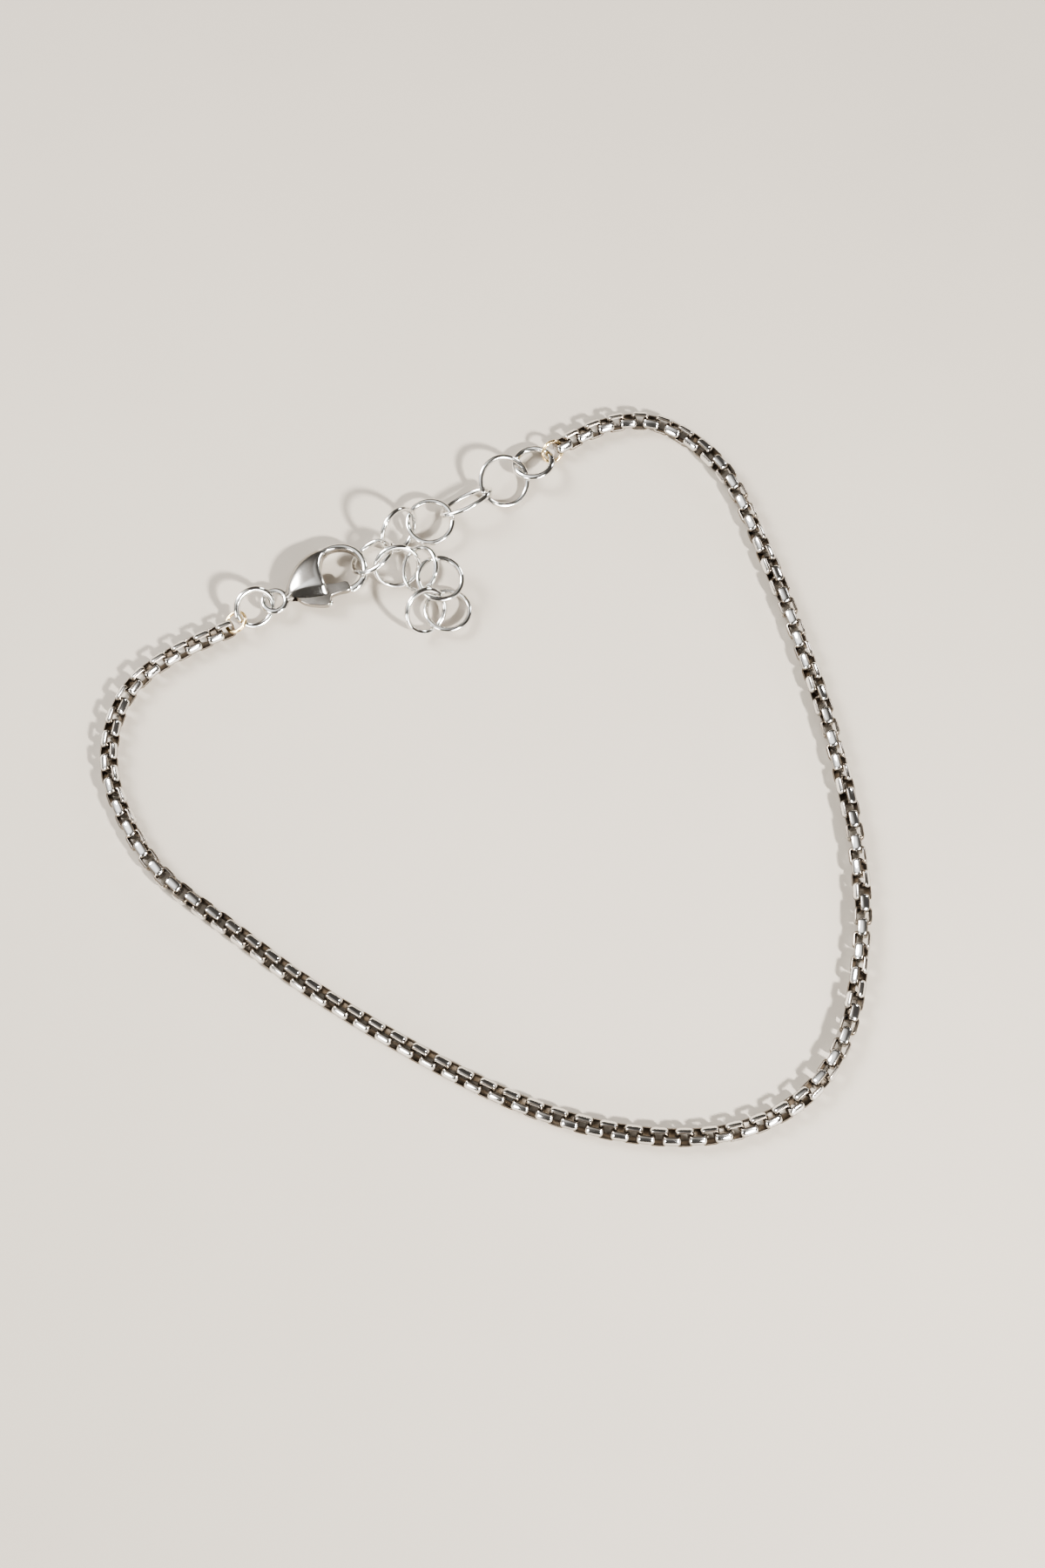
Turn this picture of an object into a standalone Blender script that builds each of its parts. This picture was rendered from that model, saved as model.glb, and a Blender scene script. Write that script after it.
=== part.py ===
"""Box chain bracelet with a lobster clasp and a ring extender, lying closed on a flat surface.

Sizes are in millimetres and angles in degrees; meshes are made in metres. +X is right, +Y is away
from the viewer and +Z is up. The origin ends up below the middle of the whole bracelet.
"""
import math

import bmesh
import bpy
import numpy as np
from mathutils import Euler, Matrix, Vector

MM = 0.001

# Box chain: every link is a rectangular ring bent from a domed band, turned a quarter turn to the next
CHAIN_WIDTH = 1.55          # across a link, from crown to crown
BAND_WIDTH = 0.80           # width of the band that a link is bent from
BAND_THICKNESS = 0.26       # at the crown
BAND_DOME = 0.14            # how far the band's crown stands above its edges
SHOULDER_LENGTH = 0.28      # rounding of a link's outer corners, along the chain
SHOULDER_DROP = 0.26        # the same, across the chain
NOMINAL_PITCH = 1.03        # from one link to the next, trued so that the route is filled
PATH_SAMPLES = 400          # points that the route's length is measured on
FINER = 8                   # how many times finer a path is sampled before it is evened out

# An edge bent by more than this stays crisp
SHARP_ANGLE = 40.0
CHAIN_SHARP_ANGLE = 35.0

# Rings at the two ends of the chain and along the extender: outer diameter and wire diameter
GOLD_RING = (2.15, 0.28)
JUMP_RING = (3.80, 0.56)
EXTENDER_RING = (4.30, 0.46)
TAIL_RING = (4.20, 0.46)
LONG_RING = (4.65, 0.46)
OVAL_RING = (5.05, 0.46)
WIRE_SIDES = 6
GOLD_RING_SIDES = 12
LARGE_RING_SIDES = 16
EYE_WIRE_SIDES = 8

# Lobster clasp, in its own frame: +X from the tail to the claw, +Y to the back, +Z up, origin at the tail
CLASP_TAIL = (-17.39, 13.96)
CLASP_HEADING = 21.0
CLASP_HEIGHT = 1.08         # of the clasp's middle plane above the flat underside that it rests on
BODY_SIDES = 16
CLAW_SIDES = 10
EYE_CENTRE = (-1.12, 0.30)
EYE_OUTER = 2.50
EYE_WIRE = 0.56
EYE_TILT = -4.0             # turn about the clasp's length, so that the jump ring passes through
PIVOT = (1.15, 0.30)
PIN_DIAMETER = 0.36
PIN_CLEARANCE = 0.06
PIN_ROOT = 0.20             # how deep the pin is set into either cheek
PIN_SIDES = 12
CUTTER_REACH = 6.0          # how far the cutting solids reach, past every face of the clasp
SLOT_WIDTH = 0.90           # the gap between the clasp's cheeks, which holds the trigger
SLOT_START = 0.58
SLOT_TOP = 1.25
TRIGGER_THICKNESS = 0.72
KNOB_CENTRE = (3.28, -1.56)
KNOB_DIAMETER = 0.62
KNOB_SIDES = 10
KNOB_ROWS = 6

# Centre line of the chain on the surface, from the clasp's end round to the extender's end: x, y
ROUTE = (
    (-22.65, 11.3), (-27.3, 8.9), (-30.4, 6.2), (-31.9, 2.5), (-31.9, -1.5), (-30.5, -5.3), (-27.5, -10.0),
    (-22.4, -14.2), (-17.3, -18.1), (-10.4, -22.7), (-3.0, -26.9), (4.6, -30.3), (12.6, -32.1),
    (18.8, -31.9), (24.3, -29.7), (27.3, -26.8), (28.8, -23.9), (30.0, -19.3), (30.6, -13.8),
    (30.2, -6.7), (28.2, 3.5), (24.9, 14.4), (22.6, 20.8), (20.0, 26.2), (17.6, 28.8), (14.2, 30.7),
    (10.3, 30.6), (6.1, 28.6),
)

# How the chain is turned about its centre line: share of its length, angle to the left of upright
ROLL = (
    (0.000, -36), (0.103, -39), (0.167, -4), (0.231, 28), (0.340, 36), (0.430, 45), (0.513, 45),
    (0.577, 0), (0.603, -45),
    (0.641, -90), (0.660, -135), (0.686, -180), (0.718, -225), (0.750, -270), (0.776, -315),
    (0.821, -360), (0.853, -405), (0.897, -450), (0.942, -495), (1.000, -495),
)

# Clasp body, a row for each section: x, lower edge, upper edge, half thickness
BODY_SECTIONS = (
    (-0.15, 0.02, 0.58, 0.28),
    (0.10, -0.12, 0.84, 0.54),
    (0.35, -0.24, 1.20, 0.76),
    (0.80, -0.40, 1.80, 0.96),
    (1.40, -0.60, 2.42, 1.12),
    (2.10, -0.78, 2.90, 1.19),
    (2.90, -0.92, 3.22, 1.19),
    (3.60, -0.98, 3.36, 1.10),
    (4.20, -0.70, 3.40, 0.92),
    (4.70, 0.60, 3.36, 0.64),
)

# Round mouth of the body, where the cheeks end and the claw's inner side begins: x, y
MOUTH_OUTLINE = (
    (5.40, 2.72), (4.60, 2.76), (4.10, 2.52), (3.78, 2.10), (3.56, 1.63), (3.45, 1.05), (3.43, 0.25),
    (3.46, -1.50), (5.40, -1.50),
)

# Claw, a row for each section of the bent wire: x, y, half width in the clasp's plane, half thickness
CLAW_SECTIONS = (
    (3.20, 2.30, 0.46, 0.72),
    (3.95, 2.82, 0.38, 0.66),
    (4.65, 3.04, 0.32, 0.58),
    (5.45, 3.00, 0.31, 0.54),
    (6.20, 2.70, 0.31, 0.52),
    (6.80, 2.16, 0.32, 0.50),
    (7.12, 1.45, 0.33, 0.48),
    (7.16, 0.65, 0.33, 0.46),
    (6.96, -0.05, 0.34, 0.45),
    (6.55, -0.60, 0.36, 0.44),
    (6.05, -0.92, 0.39, 0.42),
    (5.46, -1.06, 0.38, 0.38),
)

# Outline of the trigger in the clasp's frame when shut, from the gate's end back over the pivot
TRIGGER_OUTLINE = (
    (5.30, -0.42), (4.40, -0.12), (3.50, 0.14), (2.60, 0.42), (1.80, 0.66), (1.40, 0.74), (1.05, 0.74),
    (0.80, 0.58), (0.70, 0.30), (0.72, -0.10), (0.95, -0.62), (1.50, -1.14), (2.20, -1.50), (2.90, -1.76),
    (3.20, -1.74), (3.36, -1.50), (3.50, -1.14), (3.90, -1.04), (4.60, -1.08), (5.20, -1.10),
)

# Rings, a row for each: name, ring size, x, y, height of the centre, lean from level, heading of the lean
RINGS = (
    ("gold_ring_left", GOLD_RING, -21.77, 11.91, 1.16, 27, 167),
    ("jump_ring_left", JUMP_RING, -20.19, 13.14, 1.41, 44, -52),
    ("gold_ring_right", GOLD_RING, 5.22, 27.87, 0.90, 50, -56),
    ("jump_ring_right", JUMP_RING, 3.54, 26.72, 1.05, 18, 109),
    ("extender_link_1", LONG_RING, 1.01, 24.94, 1.23, 28, -50),
    ("extender_link_2", OVAL_RING, -2.24, 22.95, 1.26, 47, 122),
    ("extender_link_3", EXTENDER_RING, -5.35, 21.14, 1.15, 2, -131),
    ("extender_link_4", EXTENDER_RING, -8.02, 20.04, 1.96, 65, -38),
    ("extender_link_5", EXTENDER_RING, -10.24, 17.80, 1.47, 40, 139),
    ("extender_link_6", TAIL_RING, -8.09, 16.79, 1.68, 51, -76),
    ("extender_link_7", TAIL_RING, -6.15, 16.37, 2.05, 42, -165),
    ("extender_link_8", TAIL_RING, -4.41, 15.43, 2.25, 10, -13),
    ("extender_link_9", TAIL_RING, -5.60, 12.67, 1.79, 50, -45),
    ("extender_link_10", TAIL_RING, -3.79, 13.15, 0.69, 7, 70),
)

# Links that are drawn out oval: width as a share of the length, and turn of the long axis from the heading
OVALS = {"extender_link_2": (0.62, 86.0)}


def clear_scene():
    """Remove every object that the file opened with."""
    for item in list(bpy.data.objects):
        bpy.data.objects.remove(item, do_unlink=True)


def finish(item, colour, roughness):
    """Give a piece its own metal material."""
    material = bpy.data.materials.new(item.name + "_metal")
    material.use_nodes = True
    shader = material.node_tree.nodes["Principled BSDF"]
    shader.inputs["Base Color"].default_value = (*colour, 1.0)
    shader.inputs["Metallic"].default_value = 1.0
    shader.inputs["Roughness"].default_value = roughness
    item.data.materials.clear()
    item.data.materials.append(material)


def silver(item):
    """Polished silver."""
    finish(item, (0.86, 0.85, 0.82), 0.14)


def gold(item):
    """Gold-coloured wire."""
    finish(item, (0.83, 0.62, 0.30), 0.18)


def mesh_object(name, points, faces, sharp_angle=SHARP_ANGLE):
    """Make an object from points in millimetres, its faces turned outward and shaded smooth."""
    mesh = bpy.data.meshes.new(name)
    mesh.from_pydata([tuple(np.asarray(point, float) * MM) for point in points], [], faces)
    shape = bmesh.new()
    shape.from_mesh(mesh)
    bmesh.ops.recalc_face_normals(shape, faces=shape.faces)
    shape.to_mesh(mesh)
    shape.free()
    mesh.shade_smooth()
    mesh.set_sharp_from_angle(angle=math.radians(sharp_angle))
    item = bpy.data.objects.new(name, mesh)
    bpy.context.scene.collection.objects.link(item)
    return item


def guide(item):
    """Mark an object that only cuts or joins another as no piece of its own."""
    item.hide_render = True
    item.display_type = "WIRE"
    return item


def combine(item, tool, operation):
    """Join a guide to a piece, or cut the piece with it, by an exact Boolean."""
    modifier = item.modifiers.new(tool.name, "BOOLEAN")
    modifier.object = tool
    modifier.operation = operation
    modifier.solver = "EXACT"


def smooth_path(points, samples):
    """Return points at even arc length on a natural cubic spline through the given points."""
    knots = np.asarray(points, float)
    chord = np.linalg.norm(np.diff(knots, axis=0), axis=1)
    at = np.concatenate(([0.0], np.cumsum(chord)))
    count = len(knots)
    system = np.eye(count)
    slopes = np.zeros_like(knots)
    for row in range(1, count - 1):
        before, after = chord[row - 1], chord[row]
        system[row, row - 1:row + 2] = before, 2 * (before + after), after
        slopes[row] = 6 * ((knots[row + 1] - knots[row]) / after - (knots[row] - knots[row - 1]) / before)
    bend = np.linalg.solve(system, slopes)
    fine = np.linspace(0, at[-1], samples * FINER)
    span = np.clip(np.searchsorted(at, fine, side="right") - 1, 0, count - 2)
    width = chord[span][:, None]
    left = (at[span + 1] - fine)[:, None]
    right = (fine - at[span])[:, None]
    curve = (bend[span] * left ** 3 + bend[span + 1] * right ** 3) / (6 * width)
    curve += (knots[span] / width - bend[span] * width / 6) * left
    curve += (knots[span + 1] / width - bend[span + 1] * width / 6) * right
    length = np.concatenate(([0.0], np.cumsum(np.linalg.norm(np.diff(curve, axis=0), axis=1))))
    even = np.linspace(0, length[-1], samples)
    return np.stack([np.interp(even, length, column) for column in curve.T], axis=1), length[-1]


def roll_at(share):
    """Turn of the chain about its centre line, in radians, eased between the rows of ROLL."""
    shares, angles = np.asarray(ROLL, float).T
    row = np.clip(np.searchsorted(shares, share, side="right") - 1, 0, len(shares) - 2)
    slope = np.gradient(angles, shares)
    flat = np.concatenate(([True], np.diff(angles) == 0)) | np.concatenate((np.diff(angles) == 0, [True]))
    slope[flat] = 0.0
    width = shares[row + 1] - shares[row]
    step = (share - shares[row]) / width
    eased = ((1 + 2 * step) * (1 - step) ** 2 * angles[row] + step * (1 - step) ** 2 * width * slope[row]
             + step ** 2 * (3 - 2 * step) * angles[row + 1] - step ** 2 * (1 - step) * width * slope[row + 1])
    return np.radians(eased)


def resting_height(roll):
    """Height of the centre line at which the lower of two crossed links just touches the surface."""
    crown, edge, band = CHAIN_WIDTH / 2, CHAIN_WIDTH / 2 - BAND_DOME, BAND_WIDTH / 2
    heights = []
    for up, side in ((np.abs(np.cos(roll)), np.abs(np.sin(roll))), (np.abs(np.sin(roll)), np.abs(np.cos(roll)))):
        heights += [edge * up + band * side, crown * up]
    return np.max(heights, axis=0)


def link_frames():
    """Return each link's centre, its length direction and its two cross directions, and the pitch."""
    length = smooth_path(ROUTE, PATH_SAMPLES)[1]
    pairs = round(length / NOMINAL_PITCH / 2)
    count = 2 * pairs + 1
    flat, length = smooth_path(ROUTE, count)
    roll = roll_at(np.linspace(0, 1, count))
    centres = np.column_stack((flat, resting_height(roll)))
    along = np.gradient(centres, axis=0)
    along /= np.linalg.norm(along, axis=1, keepdims=True)
    left = np.cross((0.0, 0.0, 1.0), along)
    left /= np.linalg.norm(left, axis=1, keepdims=True)
    up = np.cross(along, left)
    first = np.cos(roll)[:, None] * up + np.sin(roll)[:, None] * left
    second = np.cross(along, first)
    return centres, along, first, second, length / (count - 1)


def box_chain():
    """Build the whole chain as one body: each link's end wall meets the next one's in a shared square."""
    centres, along, first, second, pitch = link_frames()
    count = len(centres)
    half_length = pitch / 2 + BAND_THICKNESS
    inner_end = half_length - BAND_THICKNESS
    crown = CHAIN_WIDTH / 2
    edge = crown - BAND_DOME
    inner_side = crown - BAND_THICKNESS
    half_band = BAND_WIDTH / 2
    ends = (half_length - SHOULDER_LENGTH, half_length, half_length, half_length - SHOULDER_LENGTH)
    sides = (edge, edge - SHOULDER_DROP, SHOULDER_DROP - edge, -edge)
    outline = list(zip(ends, sides)) + [(-s, u) for s, u in zip(ends[::-1], sides[::-1])]
    points = []

    def add(origin, *steps):
        point = np.array(origin)
        for amount, direction in steps:
            point = point + amount * direction
        points.append(point)
        return len(points) - 1

    squares = []
    for joint in range(count + 1):
        before, after = max(joint - 1, 0), min(joint, count - 1)
        if before == after:
            origin = centres[before] + along[before] * inner_end * (1 if joint else -1)
        else:
            origin = (centres[before] + centres[after]) / 2
        across = [axis[before] + axis[after] for axis in (first, second)]
        across = [axis / np.linalg.norm(axis) for axis in across]
        squares.append({
            (p, q): add(origin, (p * half_band, across[0]), (q * half_band, across[1]))
            for p in (1, -1) for q in (1, -1)
        })

    faces = []
    for index in range(count):
        centre, lengthwise = centres[index], along[index]
        wide, deep = (first[index], second[index]) if index % 2 == 0 else (second[index], -first[index])

        def corner(square, u, v):
            return square[(u, v)] if index % 2 == 0 else square[(-v, u)]

        outer, inner = {}, {}
        for v in (1, -1):
            rim = v * half_band
            outer[v] = [add(centre, (s, lengthwise), (u, wide), (rim, deep)) for s, u in outline]
            corners = {
                (e, u): add(centre, (e * inner_end, lengthwise), (u * inner_side, wide), (rim, deep))
                for e in (1, -1) for u in (1, -1)
            }
            behind, ahead = squares[index], squares[index + 1]
            inner[v] = [corners[1, 1], corner(ahead, 1, v), corner(ahead, -1, v), corners[1, -1],
                        corners[-1, -1], corner(behind, -1, v), corner(behind, 1, v), corners[-1, 1]]
            for k in range(8):
                n = (k + 1) % 8
                faces.append((outer[v][n], outer[v][k], inner[v][k], inner[v][n]))
        ridge = {k: add(centre, (outline[k][0], lengthwise), (math.copysign(crown, outline[k][1]), wide))
                 for k in (0, 3, 4, 7)}
        for k in (1, 5):
            faces.append((outer[1][k], outer[1][k + 1], outer[-1][k + 1], outer[-1][k]))
        for top, end in ((0, 1), (3, 2), (4, 5), (7, 6)):
            faces.append((ridge[top], outer[1][top], outer[1][end], outer[-1][end], outer[-1][top]))
        for k, n in ((7, 0), (3, 4)):
            faces.append((outer[1][k], outer[1][n], ridge[n], ridge[k]))
            faces.append((ridge[k], ridge[n], outer[-1][n], outer[-1][k]))
        for k, n in ((7, 0), (3, 4), (0, 1), (2, 3), (4, 5), (6, 7)):
            faces.append((inner[1][k], inner[-1][k], inner[-1][n], inner[1][n]))
    for square in (squares[0], squares[-1]):
        faces.append((square[1, 1], square[1, -1], square[-1, -1], square[-1, 1]))
    item = mesh_object("box_chain", points, faces, sharp_angle=CHAIN_SHARP_ANGLE)
    silver(item)
    return item


def wire_ring(name, size, centre, lean, heading, sides, wire_sides=WIRE_SIDES, width=1.0, turn=0.0):
    """A wire ring whose upper face leans by an angle toward a heading.

    An oval ring's width is a share of its length, and its long axis is turned from the heading.
    """
    outer, wire = size
    reach = (outer - wire) / 2
    at = np.linspace(0, 2 * math.pi, sides, endpoint=False)
    path = np.stack((reach * np.cos(at), reach * width * np.sin(at)), axis=1)
    outward = np.stack((width * np.cos(at), np.sin(at)), axis=1)
    outward /= np.linalg.norm(outward, axis=1, keepdims=True)
    points = []
    for around in np.linspace(0, 2 * math.pi, wire_sides, endpoint=False):
        flat = path + outward * wire / 2 * math.cos(around)
        points += [(x, y, wire / 2 * math.sin(around)) for x, y in flat]
    faces = []
    for row in range(wire_sides):
        for step in range(sides):
            here, beside = row * sides + step, row * sides + (step + 1) % sides
            below = sides * ((row + 1) % wire_sides) - sides * row
            faces.append((here, beside, beside + below, here + below))
    item = mesh_object(name, points, faces, sharp_angle=180.0)
    item.location = Vector(centre) * MM
    pose = Euler((0.0, math.radians(lean), math.radians(heading))).to_matrix()
    item.rotation_euler = (pose @ Matrix.Rotation(math.radians(turn), 3, "Z")).to_euler()
    return item


def lofted(name, sections):
    """Close a solid over sections of equally many points, with a flat face at either end."""
    rows, sides = len(sections), len(sections[0])
    faces = [tuple(range(sides)), tuple(range((rows - 1) * sides, rows * sides))]
    for row in range(rows - 1):
        for side in range(sides):
            here, there = row * sides + side, row * sides + (side + 1) % sides
            faces.append((here, there, there + sides, here + sides))
    return mesh_object(name, [point for section in sections for point in section], faces)


def claw_wire():
    """The clasp's claw: oval sections along the bent wire of CLAW_SECTIONS."""
    path = np.asarray(CLAW_SECTIONS, float)
    heading = np.gradient(path[:, :2], axis=0)
    heading /= np.linalg.norm(heading, axis=1, keepdims=True)
    turn = np.linspace(0, 2 * math.pi, CLAW_SIDES, endpoint=False)
    sections = []
    for (x, y, half_width, half_thickness), (dx, dy) in zip(path, heading):
        across = half_width * np.cos(turn)
        sections.append(list(zip(x - dy * across, y + dx * across, half_thickness * np.sin(turn))))
    return lofted("claw", sections)


def prism(name, outline, half_height):
    """An upright solid over an outline in the XY plane, half of it above the plane."""
    return lofted(name, [[(x, y, z) for x, y in outline] for z in (-half_height, half_height)])


def body_shell():
    """The clasp's teardrop body, lofted through BODY_SECTIONS along the clasp's length."""
    turn = np.linspace(0, 2 * math.pi, BODY_SIDES, endpoint=False)
    sections = []
    for x, lower, upper, half_thickness in BODY_SECTIONS:
        across = (lower + upper) / 2 + (upper - lower) / 2 * np.cos(turn)
        sections.append([(x, y, z) for y, z in zip(across, half_thickness * np.sin(turn))])
    return lofted("clasp_body", sections)


def block(name, low, high):
    """A plain box between two corners."""
    middle = (Vector(low) + Vector(high)) / 2
    size = Vector(high) - Vector(low)
    bpy.ops.mesh.primitive_cube_add(size=MM)
    item = bpy.context.object
    item.name = name
    item.data.transform(Matrix.Diagonal((*size, 1.0)))
    item.location = middle * MM
    return item


def rod(name, centre, diameter, length):
    """A short round bar along Z."""
    bpy.ops.mesh.primitive_cylinder_add(vertices=PIN_SIDES, radius=diameter / 2 * MM, depth=length * MM)
    item = bpy.context.object
    item.name = name
    item.location = Vector((*centre, 0.0)) * MM
    return item


def clasp():
    """Build the clasp's body and its trigger on an empty that stands at the clasp's tail."""
    frame = bpy.data.objects.new("clasp_frame", None)
    bpy.context.scene.collection.objects.link(frame)
    frame.location = Vector((*CLASP_TAIL, CLASP_HEIGHT)) * MM
    frame.rotation_euler = (0.0, 0.0, math.radians(CLASP_HEADING))

    body = body_shell()
    claw = guide(claw_wire())
    eye = guide(wire_ring("tail_eye", (EYE_OUTER, EYE_WIRE), (*EYE_CENTRE, 0.0), 0, 0, LARGE_RING_SIDES,
                          EYE_WIRE_SIDES))
    eye.rotation_euler = (math.radians(EYE_TILT), 0.0, 0.0)
    slot = guide(block("slot", (SLOT_START, -CUTTER_REACH, -SLOT_WIDTH / 2),
                       (CUTTER_REACH, SLOT_TOP, SLOT_WIDTH / 2)))
    pin = guide(rod("pivot_pin", PIVOT, PIN_DIAMETER, SLOT_WIDTH + 2 * PIN_ROOT))
    underside = guide(block("underside", (-CUTTER_REACH, -CUTTER_REACH, -CUTTER_REACH),
                            (CUTTER_REACH, CUTTER_REACH, -CLASP_HEIGHT)))
    mouth = guide(prism("mouth", MOUTH_OUTLINE, CUTTER_REACH))
    combine(body, underside, "DIFFERENCE")
    combine(body, mouth, "DIFFERENCE")
    combine(body, slot, "DIFFERENCE")
    combine(body, claw, "UNION")
    combine(body, eye, "UNION")
    combine(body, pin, "UNION")
    silver(body)

    trigger = trigger_plate()
    knob_size = KNOB_DIAMETER * MM
    bpy.ops.mesh.primitive_uv_sphere_add(segments=KNOB_SIDES, ring_count=KNOB_ROWS, radius=knob_size / 2)
    knob = guide(bpy.context.object)
    knob.name = "thumb_knob"
    knob.location = Vector((*KNOB_CENTRE, 0.0)) * MM
    bore = guide(rod("pin_bore", PIVOT, PIN_DIAMETER + 2 * PIN_CLEARANCE, 2 * CUTTER_REACH))
    combine(trigger, knob, "UNION")
    combine(trigger, bore, "DIFFERENCE")
    silver(trigger)
    for item in (body, claw, eye, underside, mouth, slot, pin, trigger, knob, bore):
        item.parent = frame
    return frame, body, trigger


def trigger_plate():
    """The trigger's flat plate, its origin on the pivot's axis."""
    outline = np.asarray(TRIGGER_OUTLINE) - np.asarray(PIVOT)
    item = prism("clasp_trigger", outline, TRIGGER_THICKNESS / 2)
    item.location = Vector((*PIVOT, 0.0)) * MM
    return item


def rings():
    """Build the gold rings, the jump rings and the extender's links from the rows of RINGS."""
    made = []
    for name, size, x, y, z, lean, heading in RINGS:
        sides = GOLD_RING_SIDES if size is GOLD_RING else LARGE_RING_SIDES
        width, turn = OVALS.get(name, (1.0, 0.0))
        item = wire_ring(name, size, (x, y, z), lean, heading, sides, width=width, turn=turn)
        (gold if size is GOLD_RING else silver)(item)
        made.append(item)
    return made


def stand_on_origin(pieces, movers):
    """Move everything so that the origin lies under the middle of the pieces' common box."""
    bpy.context.view_layer.update()
    graph = bpy.context.evaluated_depsgraph_get()
    low, high = np.full(3, np.inf), np.full(3, -np.inf)
    for piece in pieces:
        shown = piece.evaluated_get(graph)
        flat = np.empty(len(shown.data.vertices) * 3)
        shown.data.vertices.foreach_get("co", flat)
        turned = flat.reshape(-1, 3) @ np.array(shown.matrix_world.to_3x3()).T + shown.matrix_world.translation
        low, high = np.minimum(low, turned.min(axis=0)), np.maximum(high, turned.max(axis=0))
    shift = Vector(((low[0] + high[0]) / 2, (low[1] + high[1]) / 2, low[2]))
    for item in movers:
        item.location -= shift


def main():
    """Build every piece."""
    clear_scene()
    chain = box_chain()
    loose = rings()
    frame, body, trigger = clasp()
    stand_on_origin([chain, *loose, body, trigger], [chain, *loose, frame])


main()
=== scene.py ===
"""Looks of the box chain bracelet: polished silver links, rings and clasp, lying closed on a pale surface.

Tables and sizes are in millimetres and degrees, as in the part's source; meshes are made in metres in the
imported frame. +X is right, +Y is away from the viewer and +Z is up.
"""
import logging
import math
from dataclasses import dataclass, field
from enum import Enum

import bmesh
import bpy
import numpy as np
from mathutils import Euler, Matrix, Vector
from numpy.typing import NDArray


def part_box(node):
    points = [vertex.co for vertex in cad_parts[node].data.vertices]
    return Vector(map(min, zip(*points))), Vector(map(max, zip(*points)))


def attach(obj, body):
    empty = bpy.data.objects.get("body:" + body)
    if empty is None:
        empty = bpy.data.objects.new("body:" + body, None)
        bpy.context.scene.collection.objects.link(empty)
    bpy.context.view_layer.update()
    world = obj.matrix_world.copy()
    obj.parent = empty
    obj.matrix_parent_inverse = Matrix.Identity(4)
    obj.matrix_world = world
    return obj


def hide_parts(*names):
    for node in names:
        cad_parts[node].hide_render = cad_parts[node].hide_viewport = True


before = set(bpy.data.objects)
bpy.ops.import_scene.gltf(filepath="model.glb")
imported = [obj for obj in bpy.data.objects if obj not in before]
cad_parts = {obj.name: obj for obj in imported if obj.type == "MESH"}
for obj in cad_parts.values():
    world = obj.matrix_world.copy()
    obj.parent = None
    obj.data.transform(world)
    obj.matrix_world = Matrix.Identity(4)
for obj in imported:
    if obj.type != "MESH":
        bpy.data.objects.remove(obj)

Array = NDArray[np.float64]
Row = tuple[float, ...]
Faces = list[list[int]]
Shell = tuple[Array, Faces, Array]      # points, faces and each point's painted shade, which also marks the rings' dark seams

MM = 0.001
FINER = 8                               # how many times finer a path is sampled before it is evened out
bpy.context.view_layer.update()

# A round ring and its place in the tables give the step from the tables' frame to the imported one
ANCHOR = "extender_link_1"
ANCHOR_CENTRE = (1.01, 24.94, 1.23)
MIDDLE = np.mean(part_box(ANCHOR), axis=0) / MM - ANCHOR_CENTRE
log = logging.getLogger("bracelet")


class Finish(Enum):
    """The finishes on the bracelet."""

    CHAIN = "chain_silver"
    POLISHED = "polished_silver"
    GOLD = "gold_wire"


class Body(Enum):
    """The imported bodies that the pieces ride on."""

    BRACELET = "bracelet"
    TRIGGER = "trigger"


class Term:
    """A shader socket that takes part in Python sums; every operator adds one Math node."""

    def __init__(self, maker: "NodeMaker", socket: bpy.types.NodeSocket) -> None:
        """Wrap a socket.

        Args:
            maker: adds the nodes that an expression needs.
            socket: the output socket to wrap.
        """
        self.maker = maker
        self.socket = socket

    def _math(self, operation: str, first: "Term | float", second: "Term | float") -> "Term":
        """Add a Math node.

        Args:
            operation: the Math node's operation.
            first: its first value.
            second: its second value.

        Returns:
            The node's result.
        """
        return self.maker.add("ShaderNodeMath", {"operation": operation}, {0: first, 1: second})

    def __add__(self, other: "Term | float") -> "Term":
        """Sum."""
        return self._math("ADD", self, other)

    __radd__ = __add__

    def __sub__(self, other: "Term | float") -> "Term":
        """Difference."""
        return self._math("SUBTRACT", self, other)

    def __rsub__(self, other: float) -> "Term":
        """Difference from a number."""
        return self._math("SUBTRACT", other, self)

    def __mul__(self, other: "Term | float") -> "Term":
        """Product."""
        return self._math("MULTIPLY", self, other)

    __rmul__ = __mul__

    def clamped(self) -> "Term":
        """The value kept between 0 and 1."""
        return self.maker.add("ShaderNodeClamp", {}, {"Value": self})


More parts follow.
